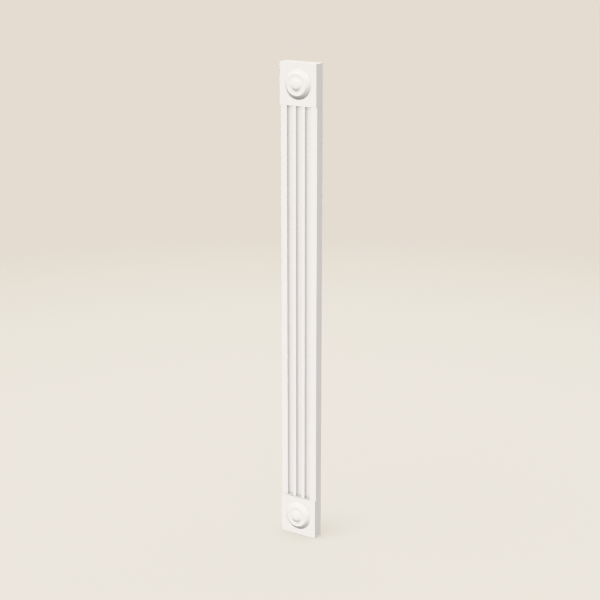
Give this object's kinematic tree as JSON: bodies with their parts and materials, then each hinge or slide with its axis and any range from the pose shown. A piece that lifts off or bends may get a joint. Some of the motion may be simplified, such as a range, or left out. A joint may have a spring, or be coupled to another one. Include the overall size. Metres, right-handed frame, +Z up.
{
  "type": "pilaster",
  "caption": "Slim fluted pilaster with a square block and a turned rosette at each end, to trim a wall, door frame or fireplace.",
  "frame": {"origin": "middle of the shaft's back face, which lies against the wall", "axes": "+Z up along the shaft, +Y out of the back towards the wall, +X to the right seen from the front"},
  "size_m": [0.09, 0.0362, 1.067],
  "materials": {
    "shaft_paint": "white satin paint on planed wood",
    "block_paint": "white satin paint on planed wood",
    "rosette_paint": "white satin paint on turned wood"
  },
  "bodies": {
    "root": {"bottom_block": "block_paint", "bottom_rosette": "rosette_paint", "fluted_shaft": "shaft_paint", "top_block": "block_paint", "top_rosette": "rosette_paint"}
  },
  "joints": []
}
